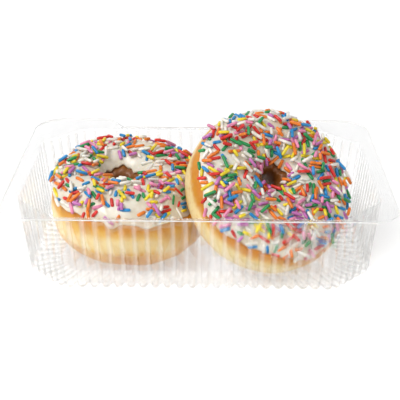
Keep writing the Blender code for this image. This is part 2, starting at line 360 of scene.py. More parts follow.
def waves(points, size, seed, count=14):
    """Sum of seeded plane sine waves, scaled to lie near -1 to 1.

    Their directions and phases are random, and their lengths are size over 0.6 to 1.6.
    """
    draw = np.random.default_rng(seed)
    directions = draw.normal(size=(count, 3))
    directions /= np.linalg.norm(directions, axis=1)[:, None]
    directions *= (2 * math.pi / size * draw.uniform(0.6, 1.6, count))[:, None]
    phases = draw.uniform(0, 2 * math.pi, count)
    return np.sin(points @ directions.T + phases).sum(axis=-1) / math.sqrt(count)


def smooth_step(values, start, end):
    """0 before start, 1 after end, and 3t^2 - 2t^3 of the way t between them."""
    t = np.clip((values - start) / (end - start), 0, 1)
    return t * t * (3 - 2 * t)


def bump_round(around, place, width):
    """A Gaussian bump round the ring: 1 at the place and 1/e a width away, both in degrees."""
    away = np.degrees(np.angle(np.exp(1j * (around - math.radians(place)))))
    return np.exp(-((away / width) ** 2))


def finish_piece(piece, slot, *nodes):
    """Rides the piece on the one body, in place of its nodes. The slot is not used."""
    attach(piece, "root")
    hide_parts(*nodes)


# Material helpers


def new_material(name):
    """A material with nodes, as (material, nodes, links, its shader)."""
    material = bpy.data.materials.new(name)
    material.use_nodes = True
    nodes = material.node_tree.nodes
    return material, nodes, material.node_tree.links, nodes["Principled BSDF"]


def noise_node(nodes, links, scale, detail, distortion=0.0):
    """A noise texture on Object coordinates."""
    place = nodes.new("ShaderNodeTexCoord")
    noise = nodes.new("ShaderNodeTexNoise")
    noise.inputs["Scale"].default_value = scale
    noise.inputs["Detail"].default_value = detail
    noise.inputs["Distortion"].default_value = distortion
    links.new(place.outputs["Object"], noise.inputs["Vector"])
    return noise.outputs["Fac"]


def value_node(nodes, name):
    """The number that add_value stored on the piece under this name."""
    attribute = nodes.new("ShaderNodeAttribute")
    attribute.attribute_name = name
    return attribute.outputs["Fac"]


def mix_colours(nodes, links, share, first, second):
    """Mixes two colours, each a colour value or a socket, by a share socket."""
    mix = nodes.new("ShaderNodeMix")
    mix.data_type = "RGBA"
    links.new(share, mix.inputs["Factor"])
    for socket, colour in ((mix.inputs["A"], first), (mix.inputs["B"], second)):
        if isinstance(colour, tuple):
            socket.default_value = (*colour, 1.0)
        else:
            links.new(colour, socket)
    return mix.outputs["Result"]


def ramp(nodes, links, source, low, high, low_value=0.0, high_value=1.0):
    """A smooth rise from low_value to high_value as the source goes from low to high."""
    rise = nodes.new("ShaderNodeMapRange")
    rise.interpolation_type = "SMOOTHSTEP"
    rise.inputs["From Min"].default_value = low
    rise.inputs["From Max"].default_value = high
    rise.inputs["To Min"].default_value = low_value
    rise.inputs["To Max"].default_value = high_value
    links.new(source, rise.inputs["Value"])
    return rise.outputs["Result"]


def combine(nodes, links, operation, first, second):
    """Math on two numbers, each a number or a socket."""
    math_node = nodes.new("ShaderNodeMath")
    math_node.operation = operation
    for socket, value in zip(math_node.inputs, (first, second)):
        if isinstance(value, (int, float)):
            socket.default_value = value
        else:
            links.new(value, socket)
    return math_node.outputs["Value"]


def add_bump(nodes, links, shader, heights):
    """Chains bumps on the shader's normal; each is (height socket, depth in metres)."""
    normal = None
    for height, depth in heights:
        bump = nodes.new("ShaderNodeBump")
        bump.inputs["Distance"].default_value = depth
        links.new(height, bump.inputs["Height"])
        if normal is not None:
            links.new(normal, bump.inputs["Normal"])
        normal = bump.outputs["Normal"]
    links.new(normal, shader.inputs["Normal"])


# Finishes


def clear_plastic():
    """Thin clear sheet, part of it plainly see-through, and milky white along the grooves, which
    paints the pale streaks of reflected light that they show.

    Lamp light passes it to what is behind. Its plain roughness and transmission, under linked
    ones, are for viewers that read no nodes.
    """
    material, nodes, links, shader = new_material("clear plastic")
    shader.inputs["Base Color"].default_value = (0.92, 0.925, 0.92, 1)
    shader.inputs["Roughness"].default_value = 0.03
    shader.inputs["IOR"].default_value = 1.28
    shader.inputs["Alpha"].default_value = 0.29
    shader.inputs["Transmission Weight"].default_value = 1.0
    # Painted reflection: less clear and more milky white along the grooves
    clear = ramp(nodes, links, value_node(nodes, "groove"), 0.40, 1.0, 1.0, 0.50)
    links.new(clear, shader.inputs["Transmission Weight"])
    scuffs = noise_node(nodes, links, scale=90.0, detail=2.0)
    links.new(ramp(nodes, links, scuffs, 0.35, 0.7, 0.01, 0.03), shader.inputs["Roughness"])
    path = nodes.new("ShaderNodeLightPath")
    through = nodes.new("ShaderNodeBsdfTransparent")
    through.inputs["Color"].default_value = (0.95, 0.955, 0.955, 1)
    mix = nodes.new("ShaderNodeMixShader")
    links.new(path.outputs["Is Shadow Ray"], mix.inputs["Fac"])
    links.new(shader.outputs["BSDF"], mix.inputs[1])
    links.new(through.outputs["BSDF"], mix.inputs[2])
    links.new(mix.outputs["Shader"], nodes["Material Output"].inputs["Surface"])
    return material


def cut_edge():
    """The sheet's cut edge, which is a little frosted and catches the light.

    Its plain roughness is for viewers that read no nodes.
    """
    material, nodes, links, shader = new_material("cut edge")
    shader.inputs["Base Color"].default_value = (0.92, 0.92, 0.91, 1)
    shader.inputs["Roughness"].default_value = 0.3
    worn = noise_node(nodes, links, scale=400.0, detail=2.0)
    links.new(ramp(nodes, links, worn, 0.3, 0.7, 0.25, 0.5), shader.inputs["Roughness"])
    return material


def fried_dough():
    """Golden crust with a pale band round its middle, browner underneath, and dark brown in the hole,
    which is partly its browner crust and partly painted shade.

    Each colour is laid over the ones before it by the piece's value of that name. The pale
    band's share also rises and falls with the noise, so its borders are uneven.
    """
    gold, dark_gold, deep_gold = (0.72, 0.38, 0.024), (0.54, 0.20, 0.007), (0.56, 0.195, 0.005)
    tan, cream, freckle = (0.46, 0.175, 0.034), (0.82, 0.66, 0.33), (0.55, 0.235, 0.045)
    hole_brown_and_shade = (0.20, 0.066, 0.010)
    material, nodes, links, shader = new_material("fried dough")
    fine = noise_node(nodes, links, scale=420.0, detail=4.0)
    blotch = noise_node(nodes, links, scale=70.0, detail=4.0, distortion=0.6)
    crust = mix_colours(nodes, links, ramp(nodes, links, blotch, 0.35, 0.68), gold, dark_gold)
    crust = mix_colours(nodes, links, value_node(nodes, "deep"), crust, deep_gold)
    crust = mix_colours(nodes, links, value_node(nodes, "brown"), crust, tan)
    unevenness = combine(nodes, links, "ADD", combine(nodes, links, "MULTIPLY", fine, 0.5), blotch)
    pale_share = combine(nodes, links, "SUBTRACT", unevenness, 0.75)
    pale_share = combine(nodes, links, "MULTIPLY", pale_share, 0.9)
    pale_share = combine(nodes, links, "ADD", pale_share, value_node(nodes, "pale"))
    crust = mix_colours(nodes, links, ramp(nodes, links, pale_share, 0.10, 0.85), crust, cream)
    crust = mix_colours(nodes, links, ramp(nodes, links, fine, 0.50, 0.72, 0.0, 0.30), crust, freckle)
    # The hole's dark brown: browner crust there, and painted shade in the hole
    crust = mix_colours(nodes, links, value_node(nodes, "hole"), crust, hole_brown_and_shade)
    links.new(crust, shader.inputs["Base Color"])
    links.new(ramp(nodes, links, blotch, 0.3, 0.7, 0.36, 0.52), shader.inputs["Roughness"])
    shader.inputs["Subsurface Weight"].default_value = 0.18
    shader.inputs["Subsurface Radius"].default_value = (1.0, 0.55, 0.25)
    shader.inputs["Subsurface Scale"].default_value = 0.0018
    add_bump(nodes, links, shader, (
        (noise_node(nodes, links, scale=260.0, detail=3.0), 0.00022),
        (noise_node(nodes, links, scale=1300.0, detail=2.0), 0.00007),
    ))
    return material


def white_icing():
    """Milky sugar icing, thinner and creamier in places, with a soft gloss."""
    milky, creamy = (0.75, 0.705, 0.600), (0.66, 0.580, 0.445)
    material, nodes, links, shader = new_material("white icing")
    thin = noise_node(nodes, links, scale=70.0, detail=3.0, distortion=0.8)
    colour = mix_colours(nodes, links, ramp(nodes, links, thin, 0.42, 0.66), milky, creamy)
    links.new(colour, shader.inputs["Base Color"])
    gloss = noise_node(nodes, links, scale=160.0, detail=3.0)
    links.new(ramp(nodes, links, gloss, 0.3, 0.7, 0.28, 0.46), shader.inputs["Roughness"])
    shader.inputs["Subsurface Weight"].default_value = 0.45
    shader.inputs["Subsurface Radius"].default_value = (1.0, 0.8, 0.55)
    shader.inputs["Subsurface Scale"].default_value = 0.0022
    shader.inputs["Coat Weight"].default_value = 0.14
    shader.inputs["Coat Roughness"].default_value = 0.20
    add_bump(nodes, links, shader, (
        (noise_node(nodes, links, scale=150.0, detail=2.0), 0.00045),
        (noise_node(nodes, links, scale=700.0, detail=2.0), 0.00006),
    ))
    return material


def sugar_sprinkle(name, colour):
    """Pressed sugar of one colour, a little lighter and darker from rod to rod."""
    material, nodes, links, shader = new_material(f"{name} sprinkle")
    shade = noise_node(nodes, links, scale=260.0, detail=1.0)
    darker = tuple(part * 0.74 for part in colour)
    paler = tuple(part + (1 - part) * 0.02 for part in colour)
    mixed = mix_colours(nodes, links, ramp(nodes, links, shade, 0.35, 0.65), darker, paler)
    links.new(mixed, shader.inputs["Base Color"])
    shader.inputs["Roughness"].default_value = 0.36
    shader.inputs["Specular IOR Level"].default_value = 0.35
    shader.inputs["Subsurface Weight"].default_value = 0.10
    shader.inputs["Subsurface Scale"].default_value = 0.0006
    shader.inputs["Coat Weight"].default_value = 0.10
    shader.inputs["Coat Roughness"].default_value = 0.2
    grain = noise_node(nodes, links, scale=1500.0, detail=2.0)
    add_bump(nodes, links, shader, ((grain, 0.00004),))
    return material


# The tray


def flute_shares(flutes):
    """Places of the columns along one side, closer together at each groove."""
    return ((np.arange(flutes)[:, None] + FLUTE_COLUMNS) / flutes).ravel()


def outline_points(outline):
    """The outline's columns, anticlockwise from the left end of its front.

    Each side is a straight run, and each corner goes straight or on a quarter arc.
    """
    wide, front, back = outline.half_width, outline.front, outline.back
    sides = (
        ((-wide, front), (wide, front), (1, 0), FRONT_FLUTES),
        ((wide, front), (wide, back), (0, 1), SIDE_FLUTES),
        ((wide, back), (-wide, back), (-1, 0), FRONT_FLUTES),
        ((-wide, back), (-wide, front), (0, -1), SIDE_FLUTES),
    )
    legs = {front: outline.front_leg, back: outline.back_leg}
    pieces = []
    for first, last, direction, flutes in sides:
        along = np.array(direction, float)
        start = np.array(first) + along * legs[first[1]]
        end = np.array(last) - along * legs[last[1]]
        pieces.append(start + (end - start) * flute_shares(flutes)[:, None])
        leg = legs[last[1]]
        centre = end - np.array([along[1], -along[0]]) * leg
        turned = centre + along * leg
        corner = flute_shares(CORNER_FLUTES)[:, None]
        turn = corner * math.pi / 2
        arc = centre + (end - centre) * np.cos(turn) + (turned - centre) * np.sin(turn)
        straight = end + (turned - end) * corner
        pieces.append(straight * (1 - outline.roundness) + arc * outline.roundness)
    return np.concatenate(pieces)


def softened(xy, softness):
    """The outline with its corners rounded by a Gaussian blur along its length."""
    steps = np.linalg.norm(np.roll(xy, -1, axis=0) - xy, axis=1)
    place = np.concatenate([[0], np.cumsum(steps)[:-1]])
    total = steps.sum()
    even = np.arange(BLUR_SAMPLES) * total / BLUR_SAMPLES
    rate = np.fft.rfftfreq(BLUR_SAMPLES, total / BLUR_SAMPLES)
    keep = np.exp(-2 * (math.pi * softness * rate) ** 2)
    blurred = [
        np.fft.irfft(np.fft.rfft(np.interp(even, place, part, period=total)) * keep, BLUR_SAMPLES)
        for part in xy.T
    ]
    return np.column_stack([np.interp(place, even, part, period=total) for part in blurred])


def wall_outline(inset):
    """The wall's foot line moved inwards by inset, parallel to itself."""
    leg = WALL_CORNER_LEG - (DRAFT + inset) * (2 - math.sqrt(2))
    return Outline(
        half_width=TRAY_WIDTH / 2 - SIDE_FLANGE - DRAFT - inset,
        front=FRONT_EDGE + FRONT_FLANGE + DRAFT + inset,
        back=BACK_EDGE - BACK_FLANGE - DRAFT - inset,
        front_leg=leg,
        back_leg=leg,
    )


def wall_points(inset):
    """The wall's foot line moved inwards by inset, with soft corners."""
    return softened(outline_points(wall_outline(inset)), EDGE_SOFTNESS)


def panel_points():
    """The edge of the floor's flat panel: the foot line moved inwards, with rounder corners."""
    outline = wall_outline(PANEL_INSET)
    outline.front_leg = outline.back_leg = PANEL_CORNER_LEG
    outline.roundness = PANEL_ROUNDNESS
    return softened(outline_points(outline), EDGE_SOFTNESS)


def flange_points():
    """The flange's outer edge, with the two ears drawn out at the back by a smooth slope."""
    outline = Outline(
        half_width=TRAY_WIDTH / 2,
        front=FRONT_EDGE,
        back=TRAY_DEPTH / 2,
        front_leg=FRONT_CORNER_RADIUS,
        back_leg=BACK_CORNER_RADIUS,
        roundness=1.0,
    )
    xy = outline_points(outline)
    half = EAR_SLOPE_WIDTH / 2
    ear = smooth_step(np.abs(xy[:, 0]), EAR_INNER_X - half, EAR_INNER_X + half)
    between = xy[:, 1] > TRAY_DEPTH / 2 - 1e-6
    xy[:, 1] -= np.where(between, EAR_DEPTH * (1 - ear), 0.0)
    return xy


def groove_share():
    """How far each column is towards a groove: a raised cosine to a power, for wider lobes."""
    phase = np.tile(FLUTE_COLUMNS, FLUTES)
    return ((1 + np.cos(2 * math.pi * phase)) / 2) ** LOBE_POWER


def tray_row(groove, lobe_xy, lobe_z, groove_xy, groove_z):
    """A ring of points between a lobe line and a groove line, mixed by the groove share."""
    xy = lobe_xy * (1 - groove) + groove_xy * groove
    z = lobe_z * (1 - groove) + groove_z * groove
    return np.hstack([xy, z])


def floor_rows(groove):
    """Rings of the floor: the raised panel, then flutes whose lobes step smoothly down from it."""
    panel, foot = panel_points(), wall_points(BEND)
    middle = panel.mean(axis=0)
    for share in PANEL_RINGS:
        line = middle + (panel - middle) * share
        yield tray_row(groove, line, FLUTE_DEPTH, line, FLUTE_DEPTH)
    ramp_share = PANEL_RAMP / (PANEL_INSET - BEND)
    ramp_shares = np.linspace(0, ramp_share, RAMP_RINGS)
    floor_shares = np.linspace(ramp_share, 1, FLOOR_RINGS)[1:-1]
    for share in np.concatenate([ramp_shares, floor_shares]):
        line = panel + (foot - panel) * share
        lobe_z = FLUTE_DEPTH * (1 - smooth_step(share, 0, ramp_share))
        yield tray_row(groove, line, lobe_z, line, FLUTE_DEPTH)


def wall_rows(groove, rim):
    """Rings of the bend, the leaning wall and the rim's bend, each with its grooves inwards.

    The grooves are raised at the start of the bend, and turn inwards on a quarter circle. Up
    the wall they grow shallower, and they run out round the rim's bend.
    """
    for turn in np.linspace(0, math.pi / 2, BEND_RINGS):
        inset, z = BEND * (1 - math.sin(turn)), BEND * (1 - math.cos(turn))
        inwards, raised = FLUTE_DEPTH * math.sin(turn), FLUTE_DEPTH * math.cos(turn)
        yield tray_row(groove, wall_points(inset), z, wall_points(inset + inwards), z + raised)
    wall_top = rim - RIM_BEND
    for share in np.linspace(0, 1, WALL_RINGS)[1:]:
        inset = -DRAFT * share
        z = BEND + (wall_top - BEND) * share
        inwards = FLUTE_DEPTH + (FLUTE_DEPTH_AT_RIM - FLUTE_DEPTH) * share
        yield tray_row(groove, wall_points(inset), z, wall_points(inset + inwards), z)
    for turn in np.radians(RIM_BEND_TURNS):
        inset = -DRAFT - RIM_BEND * (1 - math.cos(turn))
        z = wall_top + RIM_BEND * math.sin(turn)
        inwards = FLUTE_DEPTH_AT_RIM * math.cos(turn)
        yield tray_row(groove, wall_points(inset), z, wall_points(inset + inwards), z)


def flange_rows(groove, rim):
    """Rings of the flat flange, from the rim's bend out to its edge, close together there."""
    edge = flange_points()
    across = edge - wall_points(-DRAFT - RIM_BEND)
    width = np.linalg.norm(across, axis=1)[:, None]
    for share in FLANGE_RINGS:
        line = edge - across * share
        yield tray_row(groove, line, rim, line, rim)
    for left in (2 * EDGE_ROUNDING, EDGE_ROUNDING, 0.0):
        line = edge - across / width * left
        yield tray_row(groove, line, rim, line, rim)


def make_tray():
    """The outer face as rings from the floor's middle out, closed by a fan, made a sheet inwards.

    The value "groove" is the groove share on the walls and the floor's flutes, and 0 on the
    flat panel and the flange.
    """
    rim = RIM_HEIGHT - SHEET
    groove = groove_share()
    column = groove[:, None]
    rows = [*floor_rows(column), *wall_rows(column, rim), *flange_rows(column, rim)]
    columns = len(groove)
    middle = np.append(rows[0][:, :2].mean(axis=0), FLUTE_DEPTH)
    points = np.vstack([np.concatenate(rows), middle])
    sheet = grid_faces(len(rows), columns)
    around = np.arange(columns)
    fan = np.stack([np.full(columns, len(points) - 1), (around + 1) % columns, around], axis=-1)
    faces = sheet.tolist() + fan.tolist()
    tray = mesh_object("clear_tray", points, faces, (clear_plastic(), cut_edge()))
    fluted = np.tile(groove, len(rows))
    fluted[np.concatenate(rows)[:, 2] > rim - RIM_BEND] = 0.0
    fluted[:columns * len(PANEL_RINGS)] = 0.0
    add_value(tray, "groove", np.append(fluted, 0.0))
    wall = tray.modifiers.new("sheet", "SOLIDIFY")
    wall.thickness = SHEET
    wall.offset = -1.0
    wall.material_offset_rim = 1
    finish_piece(tray, "clear_plastic", "tray")


# The doughnuts' form


def signed_power(value, power):
    """The value's size to a power, with its sign kept."""
    return np.sign(value) * np.abs(value) ** power


def ring_surface(doughnut, around, section, lift=0.0):
    """Points of the ring at angle around and section angle, moved out by lift along the normal.

    The section is a superellipse between the outer circle and the hole's circle,
    whose centre is shifted, so the ring is thicker on one side.
    """
    size_2, phase_2, size_3, phase_3 = doughnut.wobble
    uneven = 1 + size_2 * np.cos(2 * around + phase_2) + size_3 * np.cos(3 * around + phase_3)
    direction = np.stack([np.cos(around), np.sin(around)], axis=-1)
    outer = direction * (doughnut.radius * uneven)[..., None]
    inner = direction * doughnut.hole_radius + np.array(doughnut.hole_shift)
    half = np.linalg.norm(outer - inner, axis=-1) / 2
    across = signed_power(np.cos(section), 2 / SECTION_POWER)
    up = signed_power(np.sin(section), 2 / SECTION_POWER)
    xy = (outer + inner) / 2 + (outer - inner) / 2 * across[..., None]
    normal_out = signed_power(across, SECTION_POWER - 1) / half
    normal_up = signed_power(up, SECTION_POWER - 1) / doughnut.half_height
    length = np.hypot(normal_out, normal_up)
    xy = xy + direction * (lift * normal_out / length)[..., None]
    z = doughnut.half_height * up + lift * normal_up / length
    return np.concatenate([xy, z[..., None]], axis=-1)


def rippled(edge, ripples, around, seed):
    """An edge's section angle plus one sine wave round the ring for each ripple."""
    for height, count, phase in ripples:
        edge = edge + height * np.sin(count * around + phase * seed)
    return edge


def icing_edges(doughnut, around):
    """Section angles of the icing's outer edge, low in its drips, and of its edge in the hole."""
    edge = rippled(doughnut.icing_edge, OUTER_RIPPLES, around, doughnut.seed)
    for place, half_width, run in doughnut.drips:
        edge = edge - run * bump_round(around, place, half_width)
    inner = rippled(doughnut.inner_edge, INNER_RIPPLES, around, doughnut.seed)
    return np.radians(edge), np.radians(inner)


def placement(doughnut):
    """The doughnut's place: leaned to the right, then to the front, then moved to its centre."""
    lean = Matrix.Rotation(math.radians(doughnut.lean_front), 4, "X")
    lean = lean @ Matrix.Rotation(math.radians(doughnut.lean_right), 4, "Y")
    return np.array(Matrix.Translation(doughnut.centre) @ lean)


def contacts_of(doughnut):
    """Flats it stays inside, as (point, outward): floor, other ring, front wall, full height."""
    towards = 1 if doughnut is LEFT else -1
    wall_face = FRONT_EDGE + FRONT_FLANGE + DRAFT + FLUTE_DEPTH + SHEET
    wall_lean = np.array([0, -RIM_HEIGHT, -DRAFT]) / math.hypot(RIM_HEIGHT, DRAFT)
    return (
        (np.array([0, 0, FLOOR_TOP + GAP / 2]), np.array([0, 0, -1.0])),
        (MEETING_POINT, MEETING_DIRECTION * towards),
        (np.array([0, wall_face + GAP / 2, 0]), wall_lean),
        (np.array([0, 0, cad_box[1].z]), np.array([0, 0, 1.0])),
    )


def pressed(points, doughnut, clearance):
    """The points in the part's frame, moved back to clearance inside every contact flat.

    The move is half of b + sqrt(b^2 + s^2), where b is how far a point lies beyond the
    flat and s the softness, so the crease is round. Well inside the flat there is no move.
    """
    matrix = placement(doughnut)
    world = points @ matrix[:3, :3].T + matrix[:3, 3]
    for point, outward in contacts_of(doughnut):
        beyond = (world - point) @ outward + clearance
        move = (beyond + np.sqrt(beyond * beyond + PRESS_SOFTNESS**2)) / 2
        move = np.where(beyond < -PRESS_REACH * PRESS_SOFTNESS, 0.0, move)
        world = world - move[..., None] * outward
    return world


def dough_lift(doughnut, rest, section, iced):
    """Lift of the dough off its even ring: an inset, and where bare, lumps and the hole's swell."""
    height, size = COARSE_LUMPS
    lumps = height * waves(rest, size, doughnut.seed)
    height, size = FINE_LUMPS
    lumps = lumps + height * waves(rest, size, doughnut.seed + 1)
    lumps = lumps * (1 - iced) - DOUGH_INSET
    in_hole = smooth_step(np.abs(np.degrees(section)), HOLE_STARTS, HOLE_SWOLLEN)
    return lumps + HOLE_SWELL * in_hole * (1 - iced)


def add_crust_values(dough, doughnut, rest, around, section):
    """Stores the shares of the crust's colours, each a smooth step over the section angle.

    The pale band is a Gaussian over it, whose middle sways, which rises and widens in front, and
    which fades at one place round the ring, as painted shade where the ring lies in shade.
    """
    degrees = np.degrees(section)
    sway = PALE_SWAY * waves(rest, PALE_SWAY_SIZE, doughnut.seed + 2)
    widest = bump_round(around, PALE_WIDEST_AT, PALE_WIDEST_REACH)
    middle = doughnut.pale_at + doughnut.pale_rise * widest
    off = (degrees - middle - sway) / (doughnut.pale_width * (1 + doughnut.pale_widening * widest))
    # Painted shade: the pale band fades where the ring lies in shade
    fades = PALE_PAINTED_SHADE * bump_round(around, doughnut.pale_shaded_at, PALE_PAINTED_SHADE_WIDTH)
    add_value(dough, "pale", np.exp(-(off**2)) * (1 - fades))
    under = smooth_step(-degrees, UNDERSIDE_STARTS, UNDERSIDE_BROWN)
    add_value(dough, "brown", under * UNDERSIDE_SHARE)
    # Share of the hole's dark brown, which paints shade in the hole as well as its browner crust
    add_value(dough, "hole", smooth_step(np.abs(degrees), HOLE_STARTS, HOLE_BROWN_AND_SHADE))
    add_value(dough, "deep", smooth_step(degrees, DEEP_STARTS, doughnut.icing_edge))


def make_dough(doughnut, crust):
    """The bare ring, lumpy on the superellipse, pressed to its contacts and lower under the icing."""
    around = np.arange(DOUGH_AROUND) * 2 * math.pi / DOUGH_AROUND
    section = np.linspace(-math.pi, math.pi, DOUGH_ROWS, endpoint=False)
    section, around = np.meshgrid(section, around, indexing="ij")
    edge, inner = icing_edges(doughnut, around)
    iced = smooth_step(section, edge - STEP_OUTSIDE, edge + STEP_INSIDE)
    iced = iced * (1 - smooth_step(section, inner, inner + STEP_IN_HOLE))
    rest = ring_surface(doughnut, around, section)
    lift = dough_lift(doughnut, rest, section, iced)
    points = ring_surface(doughnut, around, section, lift)
    clearance = GAP / 2 + iced * (2 * GAP + ICING + ICING_HELD_BACK)
    points = pressed(points, doughnut, clearance)
    faces = grid_faces(DOUGH_ROWS, DOUGH_AROUND, closed_rows=True).tolist()
    dough = mesh_object(f"dough_{doughnut.side}", points.reshape(-1, 3), faces, (crust,))
    add_crust_values(dough, doughnut, rest, around, section)
    finish_piece(dough, "dough", f"doughnut_{doughnut.side}")


def icing_layer(doughnut, around, share, lift):
    """Points of the icing at a share of the way from its outer edge to its edge in the hole."""
    edge, inner = icing_edges(doughnut, around)
    section = edge + (inner - edge) * share
    points = ring_surface(doughnut, around, section, lift)
    full = GAP + ICING
    return pressed(points, doughnut, GAP / 2 + ICING_HELD_BACK + np.maximum(full - lift, 0.0))


def make_icing(doughnut, white):
    """A skin with a rounded bead at both edges: its lift is a quarter ellipse over the bead.

    The rows go over the top from edge to edge and back underneath, sunk into the dough. The
    top's lift varies with a Gaussian lip just inside its outer edge, and with waves, read on
    a plain ring over ICING_SPAN radians of section.
    """
    bead = BEAD_ROWS * ICING_BEAD
    inside = np.linspace(ICING_BEAD, 1 - ICING_BEAD, ICING_ROWS)
    under = np.linspace(1, 0, ICING_UNDER_ROWS)[1:-1]
    share = np.concatenate([bead, inside, 1 - bead[::-1], under])
    is_under = np.arange(len(share)) >= len(share) - len(under)
    around = np.arange(ICING_AROUND) * 2 * math.pi / ICING_AROUND
    share, around = np.meshgrid(share, around, indexing="ij")
    from_edge = np.clip(np.minimum(share, 1 - share) / ICING_BEAD, 0, 1)
    swell = np.sqrt(1 - (1 - from_edge) ** 2)
    rest = ring_surface(doughnut, around, share * ICING_SPAN)
    uneven = 1 + ICING_UNEVEN * waves(rest, ICING_UNEVEN_SIZE, doughnut.seed + 5)
    uneven = uneven + LIP_SWELL * np.exp(-((share - LIP_AT) / LIP_WIDTH) ** 2)
    lift = (GAP + ICING) * swell * np.minimum(uneven, 1 + LIP_SWELL)
    sunk = -ICING_SUNK * np.minimum(1, from_edge * ICING_SINK_RATE)
    lift = np.where(is_under[:, None], sunk, lift)
    points = icing_layer(doughnut, around, share, lift)
    faces = grid_faces(len(share), ICING_AROUND, closed_rows=True).tolist()
    icing = mesh_object(f"white_icing_{doughnut.side}", points.reshape(-1, 3), faces, (white,))
    finish_piece(icing, "icing", f"icing_{doughnut.side}")


# The sprinkles


def segment_distances(start, end, starts, ends):
    """Least distances from one segment to each of several.

    The nearest pair of points on the two endless lines is solved for, as a share of the way
    along each segment, and the shares are clamped to 0 to 1 in turn.
    """
    along, alongs = end - start, ends - starts
    between = start - starts
    square, product = along @ along, alongs @ along
    squares = np.einsum("ij,ij->i", alongs, alongs)
    offset, offsets = between @ along, np.einsum("ij,ij->i", alongs, between)
    spread = np.maximum(square * squares - product * product, 1e-12)
    share = np.clip((product * offsets - squares * offset) / spread, 0, 1)
    shares = np.clip((product * share + offsets) / squares, 0, 1)
    share = np.clip((product * shares - offset) / square, 0, 1)
    gap = between + share[:, None] * along - shares[:, None] * alongs
    return np.linalg.norm(gap, axis=1)


def sprinkle_candidates(doughnut, count, draw):
    """Seeded places on the icing, as (spot, normal, tangent), from steps along its two angles.

    They are thinned by area to an even spread, and then by a crowd share that rises from the
    outer edge inwards and comes and goes in patches.
    """
    around = draw.uniform(0, 2 * math.pi, count)
    share = draw.uniform(SPRINKLED_FROM, doughnut.sprinkled_to, count)
    lift = np.full(count, GAP + ICING)
    spot = icing_layer(doughnut, around, share, lift)
    across = icing_layer(doughnut, around + PROBE, share, lift) - spot
    inwards = icing_layer(doughnut, around, share + PROBE, lift) - spot
    normal = np.cross(across, inwards)
    area = np.linalg.norm(normal, axis=1)
    normal = normal / area[:, None]
    across = across / np.linalg.norm(across, axis=1)[:, None]
    crowd = CROWD_AT_EDGE + CROWD_RISE * smooth_step(share, CROWD_RISE_FROM, CROWD_RISE_TO)
    crowd = crowd + PATCH_STRENGTH * waves(spot, PATCH_SIZE, doughnut.seed + 7)
    kept = draw.uniform(0, 1, count) < area / np.quantile(area, FULL_AREA_QUANTILE) * crowd
    return spot[kept], normal[kept], across[kept]


def held_inside(ends, doughnut):
    """A rod's two ends, moved back until the rod lies inside every contact flat."""
    for point, outward in contacts_of(doughnut):
        beyond = (ends - point) @ outward + SPRINKLE_RADIUS + GAP / 2
        ends = ends - np.maximum(beyond, 0.0)[:, None] * outward
    return ends


def loose_rods(doughnut):
    """Rods to choose from, as (spots, normals, axes, lengths), each at its own turn and tilt."""
    draw = np.random.default_rng(doughnut.seed)
    spots, normals, tangents = sprinkle_candidates(doughnut, SPRINKLE_TRIES, draw)
    turns = draw.uniform(0, math.pi, len(spots))
    lengths = draw.uniform(SPRINKLE_SHORTEST, SPRINKLE_LONGEST, len(spots))
    sides = np.cross(normals, tangents)
    axes = tangents * np.cos(turns)[:, None] + sides * np.sin(turns)[:, None]
    tilts = draw.normal(0, SPRINKLE_TILT, len(spots))
    axes = axes + normals * tilts[:, None]
    return spots, normals, axes / np.linalg.norm(axes, axis=1)[:, None], lengths


def sprinkle_rods(doughnut):
    """Rods (centre, axis, normal, length) laid one by one where there is room.

    The lower ones keep clear of each other. The rest lie a rod's thickness higher, each
    where it touches one that is there already.
    """
    spots, normals, axes, lengths = loose_rods(doughnut)
    starts, ends, chosen = np.zeros((0, 3)), np.zeros((0, 3)), []
    upper_from = int(doughnut.sprinkles * SPRINKLE_LOWER_SHARE)
    for i in range(len(spots)):
        if len(chosen) == doughnut.sprinkles:
            break
        upper = len(chosen) >= upper_from
        rise = SPRINKLE_RISE + (2 * SPRINKLE_RADIUS if upper else 0.0)
        centre = spots[i] + normals[i] * rise
        reach = axes[i] * (lengths[i] / 2 - SPRINKLE_RADIUS)
        start, end = centre - reach, centre + reach
        start, end = held_inside(np.array([start, end]), doughnut)
        if len(chosen):
            near = segment_distances(start, end, starts, ends)
            if near.min() < SPRINKLE_APART:
                continue
            if upper and near.min() > SPRINKLE_TOUCHING:
                continue
        starts, ends = np.vstack([starts, start]), np.vstack([ends, end])
        axis = (end - start) / np.linalg.norm(end - start)
        length = np.linalg.norm(end - start) + 2 * SPRINKLE_RADIUS
        chosen.append(((start + end) / 2, axis, normals[i], length))
    return chosen


def rod_faces():
    """Quads round one rod's rings of points, and triangles from its two tips to the end rings."""
    sides, rings = SPRINKLE_SIDES, len(ROD_RINGS)
    quads = grid_faces(rings, sides)
    low_tip, high_tip = rings * sides, rings * sides + 1
    this = np.arange(sides)
    beside = (this + 1) % sides
    top = (rings - 1) * sides
    low = np.stack([np.full(sides, low_tip), beside, this], axis=-1)
    high = np.stack([np.full(sides, high_tip), top + this, top + beside], axis=-1)
    return quads, np.stack([low, high], axis=1).reshape(-1, 3)


def rod_points(rods):
    """Points of all rods: for each, a circle at each of its rings and a point at each tip.

    A ring is (end, distance from the tip, radius), both in rod radii. The first and last
    rings are narrower, so the ends are round.
    """
    centre, axis, normal, length = (np.array(part) for part in zip(*rods))
    side = np.cross(normal, axis)
    side /= np.linalg.norm(side, axis=1)[:, None]
    up = np.cross(axis, side)
    turn = np.arange(SPRINKLE_SIDES) * 2 * math.pi / SPRINKLE_SIDES
    circle = np.stack([np.cos(turn), np.sin(turn)], axis=-1)
    parts = []
    for end, from_tip, radius in ROD_RINGS:
        along = end * (length / 2 - from_tip * SPRINKLE_RADIUS)
        ring = circle * radius * SPRINKLE_RADIUS
        place = centre[:, None] + axis[:, None] * along[:, None, None]
        parts.append(place + side[:, None] * ring[None, :, :1] + up[:, None] * ring[None, :, 1:])
    for end in (-1, 1):
        parts.append((centre + axis * (end * length / 2)[:, None])[:, None])
    return np.concatenate(parts, axis=1)


